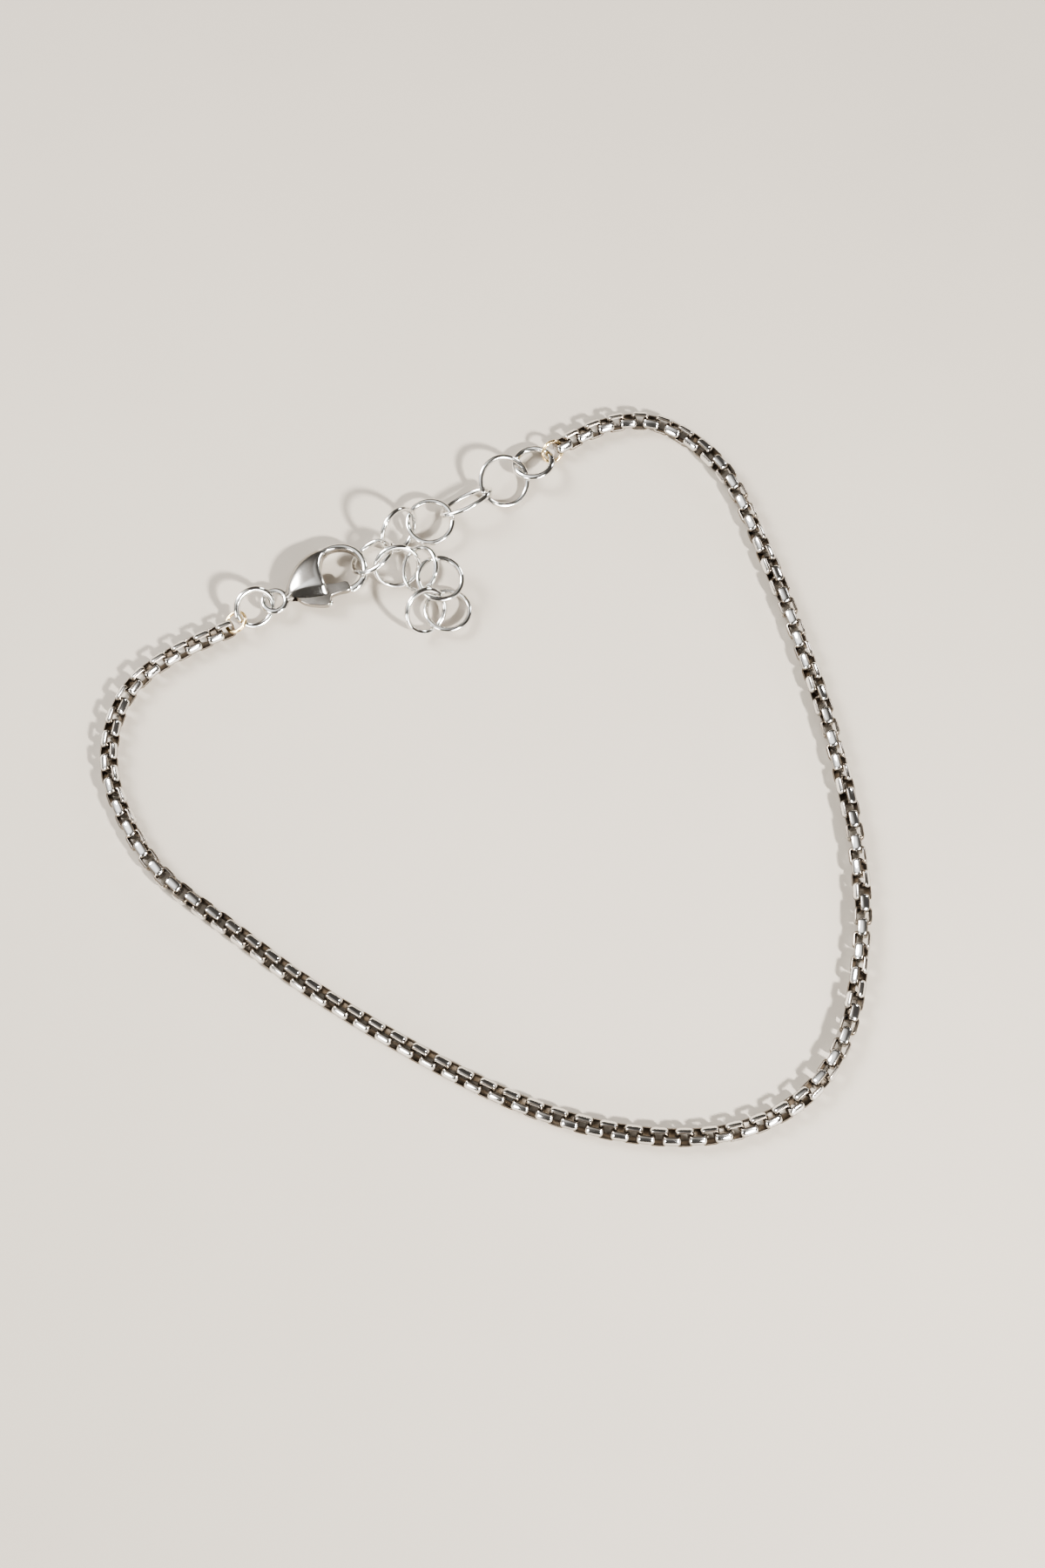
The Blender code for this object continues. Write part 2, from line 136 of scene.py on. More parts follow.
class NodeMaker:
    """Adds nodes to one material or world and links them."""

    def __init__(self, tree: bpy.types.NodeTree) -> None:
        """Keep the node tree.

        Args:
            tree: where the nodes go.
        """
        self.tree = tree

    def add(self, kind: str, settings: dict, inputs: dict, output: int | str = 0) -> Term:
        """Add one node.

        Args:
            kind: the node's type.
            settings: properties set before the sockets.
            inputs: socket name or number, to a value or a link.
            output: the socket that is handed back.

        Returns:
            The chosen output.
        """
        node = self.tree.nodes.new(kind)
        for name, value in settings.items():
            if name == "stops":
                self._set_stops(node.color_ramp, value)
            else:
                setattr(node, name, value)
        for name, value in inputs.items():
            if isinstance(value, Term):
                self.tree.links.new(value.socket, node.inputs[name])
            else:
                node.inputs[name].default_value = value
        return Term(self, node.outputs[output])

    def _set_stops(self, ramp: bpy.types.ColorRamp, stops: list[tuple[float, Row]]) -> None:
        """Set a ramp's stops.

        Args:
            ramp: the ramp to change.
            stops: each stop's place and colour.
        """
        for element in list(ramp.elements)[1:]:
            ramp.elements.remove(element)
        ramp.elements[0].position, ramp.elements[0].color = stops[0]
        for place, colour in stops[1:]:
            ramp.elements.new(place).color = colour

    def place(self) -> Term:
        """Object coordinates of the point that is shaded."""
        return self.add("ShaderNodeTexCoord", {}, {}, "Object")

    def mottle(self, scale: float, detail: float) -> Term:
        """Soft noise over the surface.

        Args:
            scale: how many blotches there are to a metre.
            detail: how many finer layers are added.

        Returns:
            Noise between 0 and 1.
        """
        return self.add("ShaderNodeTexNoise", {}, {"Vector": self.place(), "Scale": scale, "Detail": detail})

    def blend(self, share: Term, first: Row, second: Row) -> Term:
        """Mix two colours.

        Args:
            share: 0 gives the first colour, 1 the second.
            first: red, green and blue.
            second: red, green and blue.

        Returns:
            The mixed colour.
        """
        ends = {0: share, 6: (*first, 1.0), 7: (*second, 1.0)}
        return self.add("ShaderNodeMix", {"data_type": "RGBA"}, ends, 2)


@dataclass(frozen=True)
class MetalFinish:
    """A polished metal with a darker colour painted in as shade in its gaps and hollows and as a dark reflection
    on some faces, rougher there, with fine scratches and a slightly uneven polish.
    """

    name: str
    bright: Row                         # colour of the polished faces
    shade_film: Row                           # colour of the painted shade and painted dark reflection, and of the rings' dark seams
    roughness: float
    shade_roughness: float
    blotch_scale: float = 900.0         # blotches in the polish to a metre
    blotch_detail: float = 3.0
    blotch_roughness: float = 0.05      # how far the roughness strays from blotch to blotch
    scratch_scale: float = 6000.0       # scratches to a metre
    scratch_detail: float = 4.0
    scratch_roughness: float = 0.04
    scratch_depth: float = 0.0000016    # in metres
    scratch_strength: float = 0.5
    shade_cover: float = 0.75            # share of the painted shade that darkens the colour where the polish is even
    shade_patches: float = 0.5           # and how much more it darkens in the blotches

    def material(self) -> bpy.types.Material:
        """Build the material.

        Returns:
            The material, which reads the mesh attribute of painted shade and dark seams, 0 on open faces and 1
            deep in a gap.
        """
        material = bpy.data.materials.new(self.name)
        material.use_nodes = True
        maker = NodeMaker(material.node_tree)
        shader = material.node_tree.nodes["Principled BSDF"]
        shader.inputs["Metallic"].default_value = 1.0
        shade_and_seam = maker.add("ShaderNodeAttribute", {"attribute_name": "shade_and_seam"}, {}, "Fac")
        blotches = maker.mottle(self.blotch_scale, self.blotch_detail)
        scratches = maker.mottle(self.scratch_scale, self.scratch_detail)
        # Painted shade: the darker colour mixed in where the attribute asks, patchier in the blotches
        shade_film = (shade_and_seam * (self.shade_cover + self.shade_patches * blotches)).clamped()
        colour = maker.blend(shade_film, self.bright, self.shade_film)
        rough = self.roughness + self.blotch_roughness * (blotches - 0.5)
        rough = rough + self.scratch_roughness * (scratches - 0.5)
        rough = rough + (self.shade_roughness - self.roughness) * shade_film
        relief = maker.add("ShaderNodeBump", {}, {
            "Strength": self.scratch_strength, "Distance": self.scratch_depth, "Height": scratches,
        })
        for name, value in (("Base Color", colour), ("Roughness", rough), ("Normal", relief)):
            material.node_tree.links.new(value.socket, shader.inputs[name])
        return material


FINISHES = {
    Finish.CHAIN: MetalFinish("box_chain_silver", (0.90, 0.89, 0.87), (0.16, 0.13, 0.10), 0.10, 0.32),
    Finish.POLISHED: MetalFinish("polished_wire_silver", (0.88, 0.87, 0.84), (0.22, 0.19, 0.16), 0.11, 0.30),
    Finish.GOLD: MetalFinish("pale_gold_wire", (0.93, 0.73, 0.42), (0.42, 0.27, 0.12), 0.14, 0.30),
}


class Wardrobe:
    """Makes each finish once and turns arrays into finished pieces."""

    def __init__(self) -> None:
        """Build the three metals."""
        self.materials = {finish: look.material() for finish, look in FINISHES.items()}

    def piece(
        self, name: str, shell: Shell, finish: Finish, body: Body, node: str, sharp_angle: float = 42.0,
    ) -> bpy.types.Object:
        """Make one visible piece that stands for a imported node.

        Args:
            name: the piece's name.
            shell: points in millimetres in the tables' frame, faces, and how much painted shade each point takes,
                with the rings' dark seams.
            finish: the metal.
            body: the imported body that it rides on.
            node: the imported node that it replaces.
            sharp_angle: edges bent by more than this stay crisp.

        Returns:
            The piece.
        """
        points, faces, shade_and_seam = shell
        mesh = bpy.data.meshes.new(name)
        mesh.from_pydata(((points + MIDDLE) * MM).tolist(), [], faces)
        shape = bmesh.new()
        shape.from_mesh(mesh)
        bmesh.ops.recalc_face_normals(shape, faces=shape.faces)
        shape.to_mesh(mesh)
        shape.free()
        mesh.shade_smooth()
        mesh.set_sharp_from_angle(angle=math.radians(sharp_angle))
        # Each point's painted shade, and the rings' dark seams, go to the material as an attribute
        mesh.attributes.new("shade_and_seam", "FLOAT", "POINT").data.foreach_set("value", shade_and_seam.astype(np.float32))
        item = bpy.data.objects.new(name, mesh)
        bpy.context.scene.collection.objects.link(item)
        item.data.materials.append(self.materials[finish])
        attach(item, body.value)
        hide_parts(node)
        log.info("%s: %d faces for %s", name, len(mesh.polygons), node)
        return item


def grid_faces(rows: int, columns: int, wrap_rows: bool = False, wrap_columns: bool = True) -> Faces:
    """Quads over a grid of points that is stored row by row.

    Args:
        rows: how many rows there are.
        columns: how many points a row has.
        wrap_rows: whether the last row joins the first.
        wrap_columns: whether the last point of a row joins its first.

    Returns:
        Four vertex numbers to a face.
    """
    row = np.arange(rows if wrap_rows else rows - 1)[:, None]
    column = np.arange(columns if wrap_columns else columns - 1)[None, :]
    below, beside = (row + 1) % rows, (column + 1) % columns
    corners = np.broadcast_arrays(
        row * columns + column, row * columns + beside, below * columns + beside, below * columns + column,
    )
    return np.stack(corners, axis=-1).reshape(-1, 4).tolist()


def capped_faces(rows: int, columns: int) -> Faces:
    """Quads over a grid whose rows are closed loops, with one face over each open end.

    Args:
        rows: how many rows there are.
        columns: how many points a row has.

    Returns:
        Vertex numbers of each face.
    """
    loop = np.arange(columns)
    return grid_faces(rows, columns) + [loop.tolist(), ((rows - 1) * columns + loop).tolist()]


def natural_spline(places: Array, values: Array, at: Array) -> Array:
    """Values on the natural cubic spline through a table, whose second derivative is zero at both ends.

    Args:
        places: rising parameter of each row.
        values: the table, one row to a place.
        at: where the spline is read.

    Returns:
        One row of values for each place asked for.
    """
    gaps = np.diff(places)
    count = len(places)
    system = np.eye(count)
    bends = np.zeros_like(values)
    inner = np.arange(1, count - 1)
    system[inner, inner - 1] = gaps[:-1]
    system[inner, inner] = 2 * (gaps[:-1] + gaps[1:])
    system[inner, inner + 1] = gaps[1:]
    slopes = np.diff(values, axis=0) / gaps[:, None]
    bends[1:-1] = 6 * np.diff(slopes, axis=0)
    bend = np.linalg.solve(system, bends)
    span = np.clip(np.searchsorted(places, at, side="right") - 1, 0, count - 2)
    width = gaps[span][:, None]
    left, right = (places[span + 1] - at)[:, None], (at - places[span])[:, None]
    curve = (bend[span] * left ** 3 + bend[span + 1] * right ** 3) / (6 * width)
    curve += (values[span] / width - bend[span] * width / 6) * left
    return curve + (values[span + 1] / width - bend[span + 1] * width / 6) * right


def smooth_path(points: Array, samples: int) -> tuple[Array, float]:
    """Points at even arc length on the natural spline through the given points.

    Args:
        points: the points that the path passes through.
        samples: how many points are wanted.

    Returns:
        The points and the path's length.
    """
    at = np.concatenate(([0.0], np.cumsum(np.linalg.norm(np.diff(points, axis=0), axis=1))))
    curve = natural_spline(at, points, np.linspace(0, at[-1], samples * FINER))
    length = np.concatenate(([0.0], np.cumsum(np.linalg.norm(np.diff(curve, axis=0), axis=1))))
    even = np.linspace(0, length[-1], samples)
    return np.stack([np.interp(even, length, column) for column in curve.T], axis=1), float(length[-1])


def unit(vectors: Array) -> Array:
    """The vectors at length one."""
    return vectors / np.maximum(np.linalg.norm(vectors, axis=-1, keepdims=True), 1e-12)


def eased(value: Array) -> Array:
    """A smooth step from 0 to 1: three times the square less twice the cube of the clipped value."""
    step = np.clip(value, 0.0, 1.0)
    return step * step * (3 - 2 * step)


@dataclass
class BoxChain:
    """157 rectangular links bent from a domed band, each turned a quarter turn to the next."""

    width: float = 1.55
    band_width: float = 0.80
    band_thickness: float = 0.26
    dome: float = 0.14
    shoulder_length: float = 0.36
    shoulder_drop: float = 0.34
    inner_corner: float = 0.10
    nominal_pitch: float = 1.03
    corner_steps: int = 5
    dome_steps: int = 9                 # points over the band's outer face
    path_samples: int = 400
    edge_shade: float = 2.0              # how sharply the painted shade gathers at the band's edges, standing in for the dark reflections there
    end_shade: float = 0.65              # painted shade on a link's end walls, where the links meet
    end_reach: float = 0.22             # how far it comes round the shoulders
    sharp_angle: float = 60.0
    # The band's inner face: place across, share of the way from the inner outline to the edge, painted shade
    inner_face: tuple[Row, ...] = ((1.0, 0.15, 0.8), (0.86, 0.0, 1.0), (-0.86, 0.0, 1.0), (-1.0, 0.15, 0.8))
    # Each link's small turn of its own: degrees, and how fast it changes from link to link
    wobbles: tuple[Row, ...] = ((2.2, 12.9898), (1.4, 4.37))
    # Centre line of the chain, from its left end to its right end
    route: tuple[Row, ...] = (
        (-22.65, 11.3), (-27.3, 8.9), (-30.4, 6.2), (-31.9, 2.5), (-31.9, -1.5), (-30.5, -5.3),
        (-27.5, -10.0), (-22.4, -14.2), (-17.3, -18.1), (-10.4, -22.7), (-3.0, -26.9), (4.6, -30.3),
        (12.6, -32.1), (18.8, -31.9), (24.3, -29.7), (27.3, -26.8), (28.8, -23.9), (30.0, -19.3),
        (30.6, -13.8), (30.2, -6.7), (28.2, 3.5), (24.9, 14.4), (22.6, 20.8), (20.0, 26.2), (17.6, 28.8),
        (14.2, 30.7), (10.3, 30.6), (6.1, 28.6),
    )
    # Share of the chain's length, and the turn of the chain about its centre line there
    roll: tuple[Row, ...] = (
        (0.000, -36), (0.103, -39), (0.167, -4), (0.231, 28), (0.340, 36), (0.430, 45), (0.513, 45),
        (0.577, 0), (0.603, -45),
        (0.641, -90), (0.660, -135), (0.686, -180), (0.718, -225), (0.750, -270), (0.776, -315),
        (0.821, -360), (0.853, -405), (0.897, -450), (0.942, -495), (1.000, -495),
    )

    def roll_at(self, share: Array) -> Array:
        """Turn of the chain about its centre line: cubic pieces between the table's rows, flat where it rests.

        Args:
            share: shares of the chain's length.

        Returns:
            Angles in radians.
        """
        shares, angles = np.asarray(self.roll, float).T
        row = np.clip(np.searchsorted(shares, share, side="right") - 1, 0, len(shares) - 2)
        slope = np.gradient(angles, shares)
        level = np.diff(angles) == 0
        slope[np.concatenate(([True], level)) | np.concatenate((level, [True]))] = 0.0
        width = shares[row + 1] - shares[row]
        t = (share - shares[row]) / width
        return np.radians(
            (1 + 2 * t) * (1 - t) ** 2 * angles[row] + t * (1 - t) ** 2 * width * slope[row]
            + t ** 2 * (3 - 2 * t) * angles[row + 1] - t ** 2 * (1 - t) * width * slope[row + 1]
        )

    def resting_height(self, roll: Array) -> Array:
        """Height at which the lower of two crossed links just touches the surface.

        Args:
            roll: turn of the chain at each link.

        Returns:
            Height of the centre line at each link.
        """
        crown, edge, half = self.width / 2, self.width / 2 - self.dome, self.band_width / 2
        up, side = np.abs(np.cos(roll)), np.abs(np.sin(roll))
        return np.max([edge * up + half * side, crown * up, edge * side + half * up, crown * side], axis=0)

    def frames(self) -> tuple[Array, Array, Array, Array, float]:
        """Frame of each link: even steps along the route, turned by the roll and the link's own wobble.

        Returns:
            Each link's centre, length direction, cross directions of its plane and its band, and the pitch.
        """
        length = smooth_path(np.asarray(self.route), self.path_samples)[1]
        count = 2 * round(length / self.nominal_pitch / 2) + 1
        flat, length = smooth_path(np.asarray(self.route), count)
        roll = self.roll_at(np.linspace(0, 1, count))
        centres = np.column_stack((flat, self.resting_height(roll)))
        along = unit(np.gradient(centres, axis=0))
        left = unit(np.cross((0.0, 0.0, 1.0), along))
        up = np.cross(along, left)
        number = np.arange(count)
        turn = roll + sum(np.radians(size) * np.sin(number * rate) for size, rate in self.wobbles)
        first = np.cos(turn)[:, None] * up + np.sin(turn)[:, None] * left
        second = np.cross(along, first)
        odd = (number % 2 == 1)[:, None]
        wide, deep = np.where(odd, second, first), np.where(odd, -first, second)
        return centres, along, wide, deep, length / (count - 1)

    def outline(self, half_length: float, crown: float, reach: float, drop: float) -> Array:
        """Rounded rectangle: a quarter ellipse at each corner, and one point at the middle of each long side.

        Args:
            half_length: half its length.
            crown: half its width.
            reach: the corner's rounding along the length.
            drop: the corner's rounding across it.

        Returns:
            Points as rows of length and width.
        """
        angle = np.linspace(0, math.pi / 2, self.corner_steps)
        x = half_length - reach + reach * np.sin(angle)
        y = crown - drop + drop * np.cos(angle)
        quarter = np.column_stack((x, y))
        right = np.concatenate(([[0.0, crown]], quarter, quarter[::-1] * (1, -1)))
        return np.concatenate((right, right * (-1, -1)))

    def build(self, wardrobe: Wardrobe) -> bpy.types.Object:
        """Carry the band's profile round each link's rounded rectangle, for every link at once.

        A point is its place on the inner outline, plus a share of the way to the band's edge, plus half an
        ellipse that rises from the edges to the crown, plus its place across the band.

        Args:
            wardrobe: dresses the chain.

        Returns:
            The chain as one piece.
        """
        centres, along, wide, deep, pitch = self.frames()
        half_length, crown = pitch / 2 + self.band_thickness, self.width / 2
        reach, drop = self.shoulder_length, self.shoulder_drop
        outer = self.outline(half_length, crown, reach, drop)
        edge = self.outline(
            half_length - self.dome, crown - self.dome, reach - self.dome / 2, drop - self.dome / 2,
        )
        inner = self.outline(pitch / 2, crown - self.band_thickness, self.inner_corner, self.inner_corner)
        arc = np.linspace(-math.pi / 2, math.pi / 2, self.dome_steps)
        inner_across, inner_depth, inner_shade = np.asarray(self.inner_face).T
        rise = np.concatenate((np.cos(arc), np.zeros(len(inner_depth))))
        depth = np.concatenate((np.ones(len(arc)), inner_depth))
        across = np.concatenate((np.sin(arc), inner_across)) * self.band_width / 2
        # Painted shade: darker towards the band's edges as a dark reflection, deep on the inner face and on the
        # end walls between links
        shade_and_seam = np.concatenate((np.abs(np.sin(arc)) ** self.edge_shade, inner_shade))
        flat = inner[:, None] + depth[None, :, None] * (edge - inner)[:, None]
        flat = flat + rise[None, :, None] * (outer - edge)[:, None]
        end_wall = eased((np.abs(outer[:, 0]) - half_length + self.end_reach) / self.end_reach)
        shade = np.clip(shade_and_seam[None, :] + self.end_shade * end_wall[:, None], 0, 1)
        local = (flat[..., 0].ravel(), flat[..., 1].ravel(), np.tile(across, len(outer)))
        points = centres[:, None, :] + sum(
            share[None, :, None] * axis[:, None, :] for share, axis in zip(local, (along, wide, deep))
        )
        per_link = len(outer) * len(across)
        faces = np.asarray(grid_faces(len(outer), len(across), wrap_rows=True))
        faces = (faces[None] + (np.arange(len(centres)) * per_link)[:, None, None]).reshape(-1, 4)
        shell = points.reshape(-1, 3), faces.tolist(), np.tile(shade.ravel(), len(centres))
        return wardrobe.piece(
            "silver_box_chain", shell, Finish.CHAIN, Body.BRACELET, "box_chain", self.sharp_angle,
        )


@dataclass
class WireRing:
    """A round ring of polished wire with a soldered joint, slightly out of round as a hand-closed ring is."""

    node: str
    outer: float
    wire: float
    centre: Row
    lean: float = 0.0
    heading: float = 0.0
    width: float = 1.0                  # share of the length, below 1 for a link drawn out oval
    turn: float = 0.0                   # of the oval's long axis from the heading
    finish: Finish = Finish.POLISHED
    steps: int = 96
    wire_steps: int = 20
    out_of_round: float = 0.012
    seam_swelling: float = 0.035
    seam_width: float = 0.10
    seam_film: float = 0.35
    # Painted shade on the wire's inner side, facing the ring's middle
    inner_shade: float = 0.25

    def points(self) -> tuple[Array, Array]:
        """Circle of wire carried round the ring's circle or oval.

        The ring's radius swells and shrinks twice in a turn by a hundredth of a millimetre, and the wire swells
        by a bell curve at the joint. The wire's circle stands square to the oval, along its unit normal.

        Returns:
            Points on a grid of steps by wire steps, and the painted shade of each, on the wire's inner side, with
            the joint's darker seam.
        """
        seed = sum(ord(letter) for letter in self.node)
        turn = np.linspace(0, 2 * math.pi, self.steps, endpoint=False)[:, None]
        around = np.linspace(0, 2 * math.pi, self.wire_steps, endpoint=False)[None, :]
        radius = (self.outer - self.wire) / 2 + self.out_of_round * np.cos(2 * turn + seed)
        joint = np.exp(-((np.angle(np.exp(1j * (turn - seed)))) / self.seam_width) ** 2)
        wire = self.wire / 2 * (1 + self.seam_swelling * joint)
        normal = unit(np.stack((self.width * np.cos(turn), np.sin(turn)), axis=-1))
        centre = radius[..., None] * np.stack((np.cos(turn), self.width * np.sin(turn)), axis=-1)
        flat = centre + normal * (wire * np.cos(around))[..., None]
        grid = np.concatenate((flat, (wire * np.sin(around))[..., None]), axis=-1)
        # Painted shade on the wire's inner side; the joint's seam is darker in its own colour
        shade = self.seam_film * joint + self.inner_shade * np.clip(-np.cos(around), 0, 1) ** 3
        return grid, shade

    def build(self, wardrobe: Wardrobe) -> bpy.types.Object:
        """Lean the ring toward its heading and put it at its centre.

        Args:
            wardrobe: dresses the ring.

        Returns:
            The ring.
        """
        grid, shade = self.points()
        lean, heading, turn = (math.radians(angle) for angle in (self.lean, self.heading, self.turn))
        pose = Euler((0.0, lean, heading)).to_matrix() @ Matrix.Rotation(turn, 3, "Z")
        points = grid.reshape(-1, 3) @ np.array(pose).T + self.centre
        faces = grid_faces(self.steps, self.wire_steps, wrap_rows=True)
        shell = points, faces, shade.ravel()
        return wardrobe.piece(self.node + "_wire", shell, self.finish, Body.BRACELET, self.node)


@dataclass
class RingSet:
    """The gold rings, the jump rings and the extender.

    A row is the node, outer diameter, wire, centre, lean and heading, and for an oval its width and its turn.
    """

    table: tuple[tuple, ...] = (
        ("gold_ring_left", 2.15, 0.28, (-21.77, 11.91, 1.16), 27, 167),
        ("jump_ring_left", 3.80, 0.56, (-20.19, 13.14, 1.41), 44, -52),
        ("gold_ring_right", 2.15, 0.28, (5.22, 27.87, 0.90), 50, -56),
        ("jump_ring_right", 3.80, 0.56, (3.54, 26.72, 1.05), 18, 109),
        ("extender_link_1", 4.65, 0.46, (1.01, 24.94, 1.23), 28, -50),
        ("extender_link_2", 5.05, 0.46, (-2.24, 22.95, 1.26), 47, 122, 0.62, 86),
        ("extender_link_3", 4.30, 0.46, (-5.35, 21.14, 1.15), 2, -131),
        ("extender_link_4", 4.30, 0.46, (-8.02, 20.04, 1.96), 65, -38),
        ("extender_link_5", 4.30, 0.46, (-10.24, 17.80, 1.47), 40, 139),
        ("extender_link_6", 4.20, 0.46, (-8.09, 16.79, 1.68), 51, -76),
        ("extender_link_7", 4.20, 0.46, (-6.15, 16.37, 2.05), 42, -165),
        ("extender_link_8", 4.20, 0.46, (-4.41, 15.43, 2.25), 10, -13),
        ("extender_link_9", 4.20, 0.46, (-5.60, 12.67, 1.79), 50, -45),
        ("extender_link_10", 4.20, 0.46, (-3.79, 13.15, 0.69), 7, 70),
    )

    def build(self, wardrobe: Wardrobe) -> list[bpy.types.Object]:
        """Build every ring of the table.

        Args:
            wardrobe: dresses the rings.

        Returns:
            The rings in the table's order.
        """
        finishes = [Finish.GOLD if row[0].startswith("gold") else Finish.POLISHED for row in self.table]
        return [WireRing(*row, finish=finish).build(wardrobe) for row, finish in zip(self.table, finishes)]


@dataclass
class LobsterClasp:
    """The clasp in its own frame: +X from the tail to the claw, +Y to the back, +Z up, origin at the tail."""

    tail: Row = (-17.39, 13.96)
    heading: float = 21.0
    height: float = 1.08
    start: float = -0.15
    end: float = 4.55                   # where the body's thick shell stops over the claw's root
    slot_half: float = 0.45
    slot_tip: float = 0.02              # half width at the slot's closed tip
    slot_start: float = 0.20
    slot_run: float = 0.38              # length over which the slot opens
    slot_top: float = 1.25
    rim: float = 0.28                   # rounding of the rim round the mouth
    rim_share: float = 1.8              # how far before the mouth the skin gives way to the rim, in rims
    shell_rows: int = 60
    shell_columns: int = 97
    shell_ease: float = 1.15            # rows lie closer together at the tail
    rim_rows: int = 6
    wall_rows: int = 8
    inside: Row = (2.5, 1.1, 0.0)       # a point well inside the body
    profile_samples: int = 240
    cheek_samples: int = 160            # of these, the ones before the profile turns into the slot
    held: float = -0.2                  # the profile is slid only beyond this place across
    ridge_drawn: float = -0.54          # where the profile is drawn with its ridge
    ridge_tail: float = -0.42           # where the ridge lies at the tail
    ridge_slope: float = -0.075         # and how it moves outward along the clasp
    # Darker colour painted over the body's upper face as a dark reflection of the surroundings; the face is also
    # made rougher, like satin
    satin_and_painted_reflection: float = 0.7
    # Painted shade on the mouth's wall and inside the slot
    wall_shade: float = 0.7
    slot_shade: float = 0.9
    claw_rows: int = 110
    claw_sides: int = 28
    claw_squareness: float = 0.85
    claw_cap: float = 0.30              # length of the claw's rounded end
    claw_shade: float = 0.8
    eye_shade: float = 0.4
    eye_centre: Row = (-1.12, 0.30)
    eye_outer: float = 2.50
    eye_wire: float = 0.56
    eye_tilt: float = -4.0
    trigger_thickness: float = 0.72
    trigger_edge: float = 0.10
    trigger_sides: int = 160
    trigger_rows: int = 10
    # Painted dark reflection over the whole trigger
    trigger_reflection_shade: float = 0.75
    hidden_shade: float = 0.2            # more painted shade where the trigger lies inside the slot
    knob_centre: Row = (3.28, -1.56)
    knob_diameter: float = 0.62
    knob_rows: int = 14
    knob_sides: int = 24
    sharp_angle: float = 38.0
    # The body: place along it, its front and back edges, and half its thickness
    sections: tuple[Row, ...] = (
        (-0.15, 0.02, 0.58, 0.28), (0.10, -0.12, 0.84, 0.54), (0.35, -0.24, 1.20, 0.76),
        (0.80, -0.40, 1.80, 0.96), (1.40, -0.60, 2.42, 1.12), (2.10, -0.78, 2.90, 1.19),
        (2.90, -0.92, 3.22, 1.19), (3.60, -0.98, 3.36, 1.10), (4.20, -0.90, 3.40, 0.94),
        (4.70, -0.80, 3.36, 0.70),
    )
    # Half of a section of the body, from its back edge over its upper face to its front edge
    profile: tuple[Row, ...] = (
        (1.00, 0.00), (0.985, 0.20), (0.93, 0.42), (0.80, 0.64), (0.60, 0.80), (0.30, 0.92), (0.00, 0.98),
        (-0.28, 1.00), (-0.46, 0.985), (-0.54, 0.945), (-0.60, 0.87), (-0.90, 0.42), (-0.98, 0.22),
        (-1.00, 0.00),
    )
    # Edge of the mouth, from the front to the back
    mouth: tuple[Row, ...] = (
        (3.46, -1.50), (3.43, 0.25), (3.45, 1.05), (3.56, 1.63), (3.78, 2.10), (4.10, 2.52), (4.55, 2.76),
    )
    # The claw's middle line, with half its width and half its thickness
    claw: tuple[Row, ...] = (
        (3.20, 2.30, 0.46, 0.72), (3.95, 2.82, 0.38, 0.66), (4.65, 3.04, 0.32, 0.58), (5.45, 3.00, 0.31, 0.54),
        (6.20, 2.70, 0.31, 0.52), (6.80, 2.16, 0.32, 0.50), (7.12, 1.45, 0.33, 0.48), (7.16, 0.65, 0.33, 0.46),
        (6.96, -0.05, 0.34, 0.45), (6.55, -0.60, 0.36, 0.44), (6.05, -0.92, 0.39, 0.42),
        (5.46, -1.06, 0.38, 0.38),
    )
    # Outline of the trigger, from the gate's end round the thumb side
    trigger: tuple[Row, ...] = (
        (5.30, -0.42), (4.40, -0.12), (3.50, 0.14), (2.60, 0.42), (1.80, 0.66), (1.40, 0.74), (1.05, 0.74),
        (0.80, 0.58), (0.70, 0.30), (0.72, -0.10), (0.95, -0.62), (1.50, -1.14), (2.20, -1.50), (2.90, -1.76),
        (3.20, -1.74), (3.36, -1.50), (3.50, -1.14), (3.90, -1.04), (4.60, -1.08), (5.20, -1.10),
    )

    def placed(self, points: Array) -> Array:
        """Points of the clasp's own frame in the tables' frame: turned by its heading, then moved to its tail."""
        turn = np.array(Matrix.Rotation(math.radians(self.heading), 3, "Z"))
        return points.reshape(-1, 3) @ turn.T + (*self.tail, self.height)

    def skin(self, x: Array, t: Array) -> tuple[Array, Array]:
        """Outer skin of the body: the profile's height over its place across, stretched between the edges.

        Args:
            x: place along the clasp.
            t: -1 at the lower cheek's slot edge, 0 at the back edge, 1 at the upper cheek's slot edge.

        Returns:
            Place across and height above the middle plane.
        """
        rows = np.asarray(self.sections)
        lower, upper, half = natural_spline(rows[:, 0], rows[:, 1:], x.ravel()).T.reshape(3, *x.shape)
        shape = np.asarray(self.profile)
        fine = smooth_path(shape, self.profile_samples)[0]
        length = np.linspace(0, 1, len(fine))
        slot = np.clip(self.gap(x) / half, 0.02, 0.9)
        stop = np.interp(-slot, -fine[self.cheek_samples:, 1], length[self.cheek_samples:])
        at = np.abs(t) * stop
        across, high = np.interp(at, length, fine[:, 0]), np.interp(at, length, fine[:, 1])
        ridge = self.ridge_tail + self.ridge_slope * np.clip(x, 0.3, 4.0)
        across = np.where(across < self.held, self.slid(across, ridge), across)
        return (lower + upper) / 2 + (upper - lower) / 2 * across, np.sign(t) * half * high

    def slid(self, across: Array, ridge: Array) -> Array:
        """Slide the profile's ridge to another place across, with both ends of the slid stretch held.

        Args:
            across: places across in the profile as drawn, -1 at the front edge.
            ridge: where the ridge goes.

        Returns:
            The places after the slide, which is linear on either side of the ridge.
        """
        before = self.held + (across - self.held) * (ridge - self.held) / (self.ridge_drawn - self.held)
        after = ridge + (across - self.ridge_drawn) * (-1 - ridge) / (-1 - self.ridge_drawn)
        return np.where(across > self.ridge_drawn, before, after)

    def gap(self, x: Array) -> Array:
        """Half width of the slot for the trigger, which opens from nothing near the tail."""
        return self.slot_tip + (self.slot_half - self.slot_tip) * eased((x - self.slot_start) / self.slot_run)

    def mouth_at(self, across: Array) -> Array:
        """Place along the clasp where its mouth begins, read from the mouth's outline."""
        rows = smooth_path(np.asarray(self.mouth), 200)[0]
        return np.interp(across, rows[:, 1], rows[:, 0], right=self.end)

